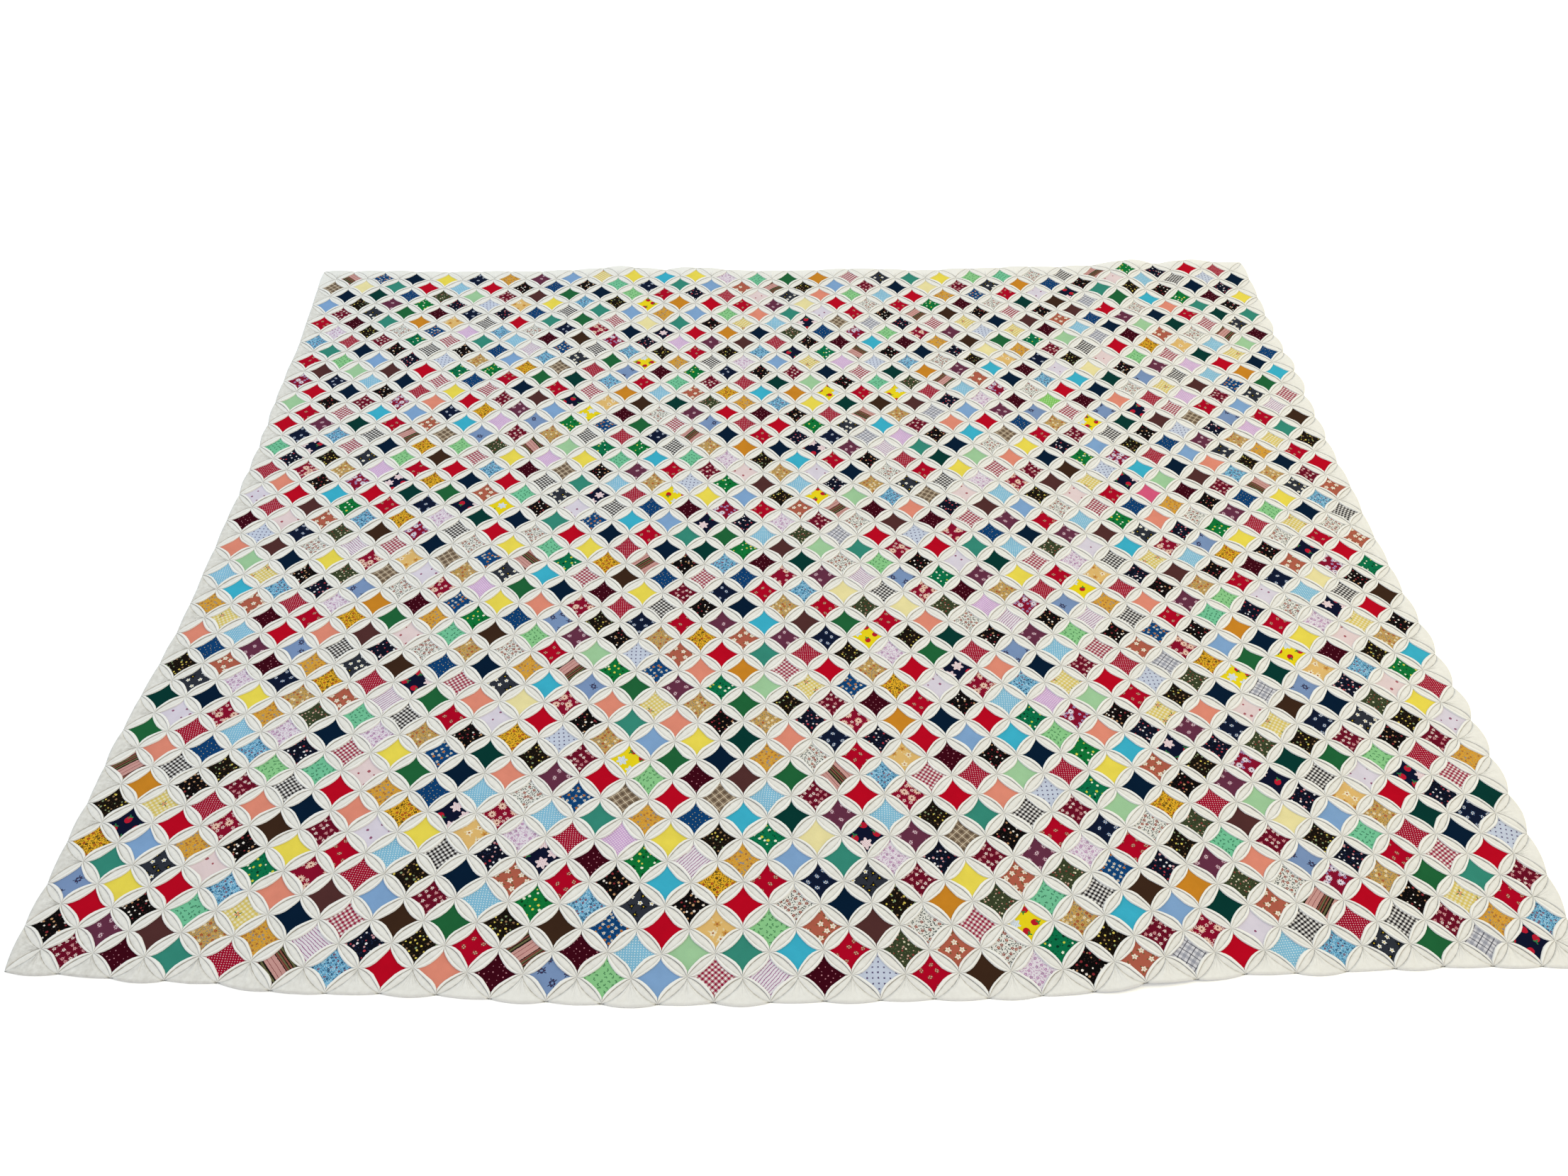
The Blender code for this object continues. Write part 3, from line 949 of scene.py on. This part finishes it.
def flap_points(grid, sizes):
    """Places, cloth coordinates, painted shade, rays and ways out of the plain flaps, with their slits."""
    draws = np.random.default_rng(sizes.seed + 9)
    sides = [(k + 0.5, 0.5, -math.pi / 2) for k in range(ACROSS)]
    sides += [(k + 0.5, DEEP - 0.5, math.pi / 2) for k in range(ACROSS)]
    sides += [(0.5, k + 0.5, math.pi) for k in range(DEEP)]
    sides += [(ACROSS - 0.5, k + 0.5, 0.0) for k in range(DEEP)]
    sides = np.array(sides)
    each = (len(sides), 1)
    out = 0.5 - 0.5 * np.cos(math.pi * grid[:, 0])
    last = FLAP_POINTS + 2 * SLIT_POINTS - 1
    row = np.round(grid[:, 1] * last).astype(int)
    hand = np.where(row > last / 2, 1.0, -1.0)
    rank = np.minimum(row, last - row)
    in_slit = rank < SLIT_POINTS
    step = np.minimum(rank, SLIT_POINTS - 1)
    slit = petal_half(out, sizes.slit_half, SLIT_BLUNT) * math.sqrt(2.0)
    share = np.clip((row - SLIT_POINTS) / (FLAP_POINTS - 1), 0.0, 1.0) * 2.0 - 1.0
    beside = 0.5 * out - section("slit")[step] * slit - 0.05 * section("rim")[step] * out
    lateral = np.where(in_slit, hand * beside, share * (0.5 * out - slit))
    pleats = np.zeros((len(sides), len(grid)))
    for _ in range(PLEATS):
        line = draws.uniform(-0.8, 0.8, each)
        size = draws.uniform(-0.7, 1.0, each)
        pleats += size * np.exp(-((share - line) / PLEAT_WIDTH) ** 2)
    at_side = np.abs(share) > 0.99
    floor = petal_half(out, 1.0, RISE_BLUNT) * sizes.hem_height * section("height")[step]
    edge = np.clip(out / 0.12, 0.0, 1.0) * np.where(at_side, 0.55, 1.0)
    raised = sizes.flap * edge + sizes.pleat * pleats * np.sqrt(out) * (1.0 - out * out) * edge
    tucked = (1.0 - eased((1.0 - out) / INSET)) * (sizes.base - 0.0002 + 0.6 * sizes.flap)
    angle = sides[:, 2:3]
    points = stacked(
        sides[:, 0:1] + np.cos(angle) * 0.5 * out - np.sin(angle) * lateral,
        sides[:, 1:2] + np.sin(angle) * 0.5 * out + np.cos(angle) * lateral,
        sizes.base + np.where(in_slit, floor, raised) - tucked)
    uv = on_cloth(0.5 * out, lateral, draws, len(sides))
    # Painted shade on the flaps: stronger towards the left, weaker at the far edge, and a painted dark line
    # along their slit edges.
    left_shade = 1.0 + LEFT_SHADE_GAIN * np.clip(1.0 - sides[:, :1] / LEFT_WIDTH, 0.0, 1.0)
    flap_shade_share = sizes.flap_shade * left_shade * np.where(sides[:, 1:2] > DEEP - 1.0, FAR_SHADE_SHARE, 1.0)
    crease = np.where(in_slit, section("crease")[step], np.maximum(flap_shade_share, 0.3 * at_side))
    ray = share + draws.uniform(0.0, 90.0, each)
    return points, uv, {"crease": crease, "ray": ray, "out": out}


def amount(name, description, default, unit="NONE"):
    """A number that the panel shows."""
    return FloatProperty(name=name, description=description, default=default, unit=unit)


def paint(name, description, default):
    """A colour that the panel shows."""
    return FloatVectorProperty(name=name, description=description, default=default, subtype="COLOR", size=4)


class QuiltSizes(bpy.types.PropertyGroup):
    """Sizes of the sewn work. Shares are of one square."""

    seed: IntProperty(name="Seed", description="Draws the prints and the unevenness", default=27)
    petal_half: amount("Petal half width", "Share of a square", 0.1265)
    petal_gain: amount("Petal gain", "Wider by this at the far edge", 0.007)
    slit_half: amount("Slit half width", "Share of a square", 0.068)
    tip_gap: amount("Tip gap", "Window tip to node, as a share", 0.10)
    overlap: amount("Overlap", "Window tucked under the hem", 0.022)
    hem_height: amount("Hem height", "Roll of the hems over the windows", 0.0025, unit="LENGTH")
    base: amount("Base", "Thickness of the folded squares", 0.0014, unit="LENGTH")
    sunk: amount("Sunk", "Depth of the squares below the windows", 0.0007, unit="LENGTH")
    puff: amount("Puff", "Crown of a window", 0.0005, unit="LENGTH")
    wrinkle: amount("Wrinkle", "Height of a window's wrinkle", 0.0004, unit="LENGTH")
    flap: amount("Flap", "Thickness of the outer flaps", 0.0008, unit="LENGTH")
    pleat: amount("Pleat", "Height of the outer flaps' pleats", 0.0013, unit="LENGTH")
    wander: amount("Wander", "How far nodes lie off the grid", 0.0013, unit="LENGTH")
    tilt: amount("Tilt", "Spread of the prints' directions", 0.09, unit="ROTATION")
    # Painted shade where the petals meet.
    node_shade: amount("Node shade", "Shade where petals meet", 0.22)
    # Painted shade on the flaps, growing towards the left.
    flap_shade: amount("Flap shade", "Greyness of the flaps, which grows to the left", 0.09)


class QuiltCloth(bpy.types.PropertyGroup):
    """Colours and finish of the cottons."""

    muslin: paint("Muslin", "Folded squares", (0.582, 0.577, 0.566, 1.0))
    # Colour of the painted shade in the muslin's creases.
    crease: paint("Crease", "Muslin in a crease", (0.22, 0.20, 0.17, 1.0))
    # Colour of the painted highlight on the crests of the rolls.
    crest_highlight: paint("Crest", "Muslin on the crest of a roll", (0.98, 0.974, 0.955, 1.0))
    roughness: amount("Roughness", "Of all cottons", 0.88)
    sheen: amount("Sheen", "Of the muslin", 0.08)
    print_sheen: amount("Print sheen", "Of the windows", 0.0)
    thread_pitch: amount("Thread pitch", "Of the plain weave", 0.00084, unit="LENGTH")
    thread_depth: amount("Thread depth", "Relief of the weave", 0.00002, unit="LENGTH")
    crease_depth: amount("Crease depth", "Relief of soft creases", 0.0007, unit="LENGTH")
    fan_depth: amount("Fan depth", "Relief of the flaps' folds", 0.0006, unit="LENGTH")
    print_waver: amount("Print waver", "How far printed shapes waver", 0.0016, unit="LENGTH")


class QuiltStage(bpy.types.PropertyGroup):
    """Floor, light and camera."""

    floor: paint("Floor", "Pale plain floor", (0.95, 0.95, 0.95, 1.0))
    sky: amount("Sky", "Strength of the even light", 1.06)
    left_light: amount("Left light", "Cool light", 63.0, unit="POWER")
    right_light: amount("Right light", "Warm light", 91.0, unit="POWER")
    lens: amount("Lens", "Focal length in millimetres", 27.08)
    azimuth: amount("Azimuth", "Camera's heading from +Y to +X", math.radians(1.93), unit="ROTATION")
    tip: amount("Tip", "Camera's angle below the horizon", math.radians(46.38), unit="ROTATION")
    roll: amount("Roll", "Camera's roll", math.radians(0.98), unit="ROTATION")


class QUILT_OT_windows(bpy.types.Operator):
    """Lays a print or plain window over every seam"""

    bl_idname = "quilt.windows"
    bl_label = "Windows"

    def execute(self, context):
        sizes = context.scene.quilt_sizes
        places = np.concatenate(window_places())
        mesh = laid_copies(len(places), WINDOW_STEPS, WINDOW_STEPS, sizes, window_points, places)
        sewn("windows", mesh, [cotton(kind, context.scene.quilt_cloth) for kind in PRINTS])
        set_materials(mesh, np.repeat(chosen_prints(places, sizes.seed), WINDOW_STEPS * WINDOW_STEPS))
        return {"FINISHED"}


class QUILT_OT_hems(bpy.types.Operator):
    """Rolls the squares' folded edges over the windows as petals"""

    bl_idname = "quilt.hems"
    bl_label = "Petal hems"

    def execute(self, context):
        upright, level = window_places()
        halves = {
            "hems_upright_near": upright[upright[:, 1] <= DEEP / 2],
            "hems_upright_far": upright[upright[:, 1] > DEEP / 2],
            "hems_level_near": level[level[:, 1] < DEEP / 2],
            "hems_level_far": level[level[:, 1] > DEEP / 2],
        }
        sizes = context.scene.quilt_sizes
        rows = len(PETAL_SECTION) - 1
        for order, (name, places) in enumerate(halves.items()):
            count = 4 * len(places)
            mesh = laid_copies(count, PETAL_STEPS, rows, sizes, petal_points, places, order)
            sewn(name, mesh, [muslin_of(context)])
        return {"FINISHED"}


class QUILT_OT_flaps(bpy.types.Operator):
    """Finishes the outline with plain pleated flaps"""

    bl_idname = "quilt.flaps"
    bl_label = "Outer flaps"

    def execute(self, context):
        sizes = context.scene.quilt_sizes
        rows = FLAP_POINTS + 2 * SLIT_POINTS - 1
        mesh = laid_copies(2 * (ACROSS + DEEP), PETAL_STEPS, rows, sizes, flap_points)
        sewn("flaps", mesh, [muslin(context.scene.quilt_cloth, "muslin_fanned", True)])
        return {"FINISHED"}


class QUILT_OT_ground(bpy.types.Operator):
    """Joins the folded squares into one cloth under the windows and petals"""

    bl_idname = "quilt.ground"
    bl_label = "Folded squares"

    def execute(self, context):
        sizes = context.scene.quilt_sizes
        look = context.scene.quilt_cloth
        mesh = even_sheet(4 * ACROSS, 4 * DEEP)
        bm = bmesh.new()
        bm.from_mesh(mesh)
        made = bmesh.ops.extrude_face_region(bm, geom=bm.faces[:], use_keep_orig=True)
        raised = [item for item in made["geom"] if isinstance(item, bmesh.types.BMVert)]
        bmesh.ops.translate(bm, verts=raised, vec=(0.0, 0.0, 1.0))
        bmesh.ops.recalc_face_normals(bm, faces=bm.faces[:])
        bm.faces.sort(key=lambda face: face.calc_center_median().dot(FACE_ORDER))
        bm.to_mesh(mesh)
        bm.free()
        grid = points_of(mesh)
        s = np.clip(grid[:, 0] * ACROSS, INSET, ACROSS - INSET)
        t = np.clip(grid[:, 1] * DEEP, INSET, DEEP - INSET)
        height = np.where(grid[:, 2] > 0.5, sizes.base - sizes.sunk, 0.0)
        points = np.stack((s, t, height), axis=-1)
        set_points(mesh, laid(points, sizes))
        set_cloth(mesh, points[:, :2] * SQUARE)
        # The top of the folded squares, which shows in the slits, gets a light even painted shade.
        set_values(mesh, "crease", np.full(len(grid), 0.12))
        piece = sewn("folded_squares", mesh, [muslin_of(context), muslin_back(look)])
        set_materials(mesh, numbers(mesh.polygons, "normal", 3)[:, 2] < -0.5)
        return {"FINISHED"}


class QUILT_OT_stage(bpy.types.Operator):
    """Adds the floor, the lights and the camera"""

    bl_idname = "quilt.stage"
    bl_label = "Stage"

    def execute(self, context):
        look = context.scene.quilt_stage
        self.floor(look)
        self.light("light_left", look.left_light, *LEFT_LIGHT)
        self.light("light_right", look.right_light, *RIGHT_LIGHT)
        world = bpy.data.worlds.new("studio")
        world.use_nodes = True
        background = world.node_tree.nodes["Background"]
        background.inputs["Color"].default_value = (1.0, 1.0, 1.0, 1.0)
        background.inputs["Strength"].default_value = look.sky
        context.scene.world = world
        context.scene.view_settings.view_transform = "Standard"
        self.camera(context, look)
        return {"FINISHED"}

    def floor(self, look):
        mesh = even_sheet(2, 2)
        mesh.name = "floor"
        set_points(mesh, (points_of(mesh) - (0.5, 0.5, 0.0)) * FLOOR_WIDTH - (0.0, 0.0, FLOOR_DROP))
        recipe = Recipe("floor", 0.9, 0.0)
        shade = recipe.noise(recipe.place(), scale=2.0) * 0.02 + 0.98
        colour = recipe.mixed(look.floor, shade, 1.0, "MULTIPLY")
        recipe.feed(recipe.shader.inputs["Base Color"], colour)
        mesh.materials.append(recipe.material)
        added("floor", mesh)

    def light(self, name, power, place, colour):
        lamp = bpy.data.lights.new(name, "AREA")
        lamp.energy = power
        lamp.size = LIGHT_WIDTH
        lamp.color = colour
        holder = added(name, lamp)
        holder.location = place
        holder.rotation_euler = Vector(place).to_track_quat("Z", "Y").to_euler()

    def camera(self, context, look):
        data = bpy.data.cameras.new("camera")
        data.lens = look.lens
        data.sensor_width = SENSOR_WIDTH
        data.sensor_fit = "HORIZONTAL"
        turn = Matrix.Rotation(-look.azimuth, 4, "Z") @ Matrix.Rotation(math.pi / 2 - look.tip, 4, "X")
        turn = turn @ Matrix.Rotation(look.roll, 4, "Z")
        eye = Vector(EYE) - Vector((MIDDLE_X, MIDDLE_Y, 0.0))
        context.scene.camera = added("camera", data)
        context.scene.camera.matrix_world = Matrix.Translation(eye) @ turn


class QUILT_PT_panel(bpy.types.Panel):
    """The quilt's sizes, cottons and stage"""

    bl_idname = "QUILT_PT_panel"
    bl_label = "Quilt"
    bl_space_type = "VIEW_3D"
    bl_region_type = "UI"
    bl_category = "Quilt"

    def draw(self, context):
        for holder in GROUPS:
            group = getattr(context.scene, holder)
            box = self.layout.box()
            for name in group.__annotations__:
                box.prop(group, name)
        for operator in OPERATORS:
            self.layout.operator(operator.bl_idname)


GROUPS = {"quilt_sizes": QuiltSizes, "quilt_cloth": QuiltCloth, "quilt_stage": QuiltStage}
OPERATORS = (QUILT_OT_windows, QUILT_OT_hems, QUILT_OT_flaps, QUILT_OT_ground, QUILT_OT_stage)


def register():
    for kind in (*GROUPS.values(), *OPERATORS, QUILT_PT_panel):
        bpy.utils.register_class(kind)
    for name, kind in GROUPS.items():
        setattr(bpy.types.Scene, name, PointerProperty(type=kind))


def unregister():
    for name in reversed(GROUPS):
        delattr(bpy.types.Scene, name)
    for kind in (QUILT_PT_panel, *reversed(OPERATORS), *reversed(GROUPS.values())):
        bpy.utils.unregister_class(kind)


def main():
    register()
    bpy.ops.quilt.windows()
    bpy.ops.quilt.hems()
    bpy.ops.quilt.flaps()
    bpy.ops.quilt.ground()
    bpy.ops.quilt.stage()


if __name__ == "__main__":
    main()
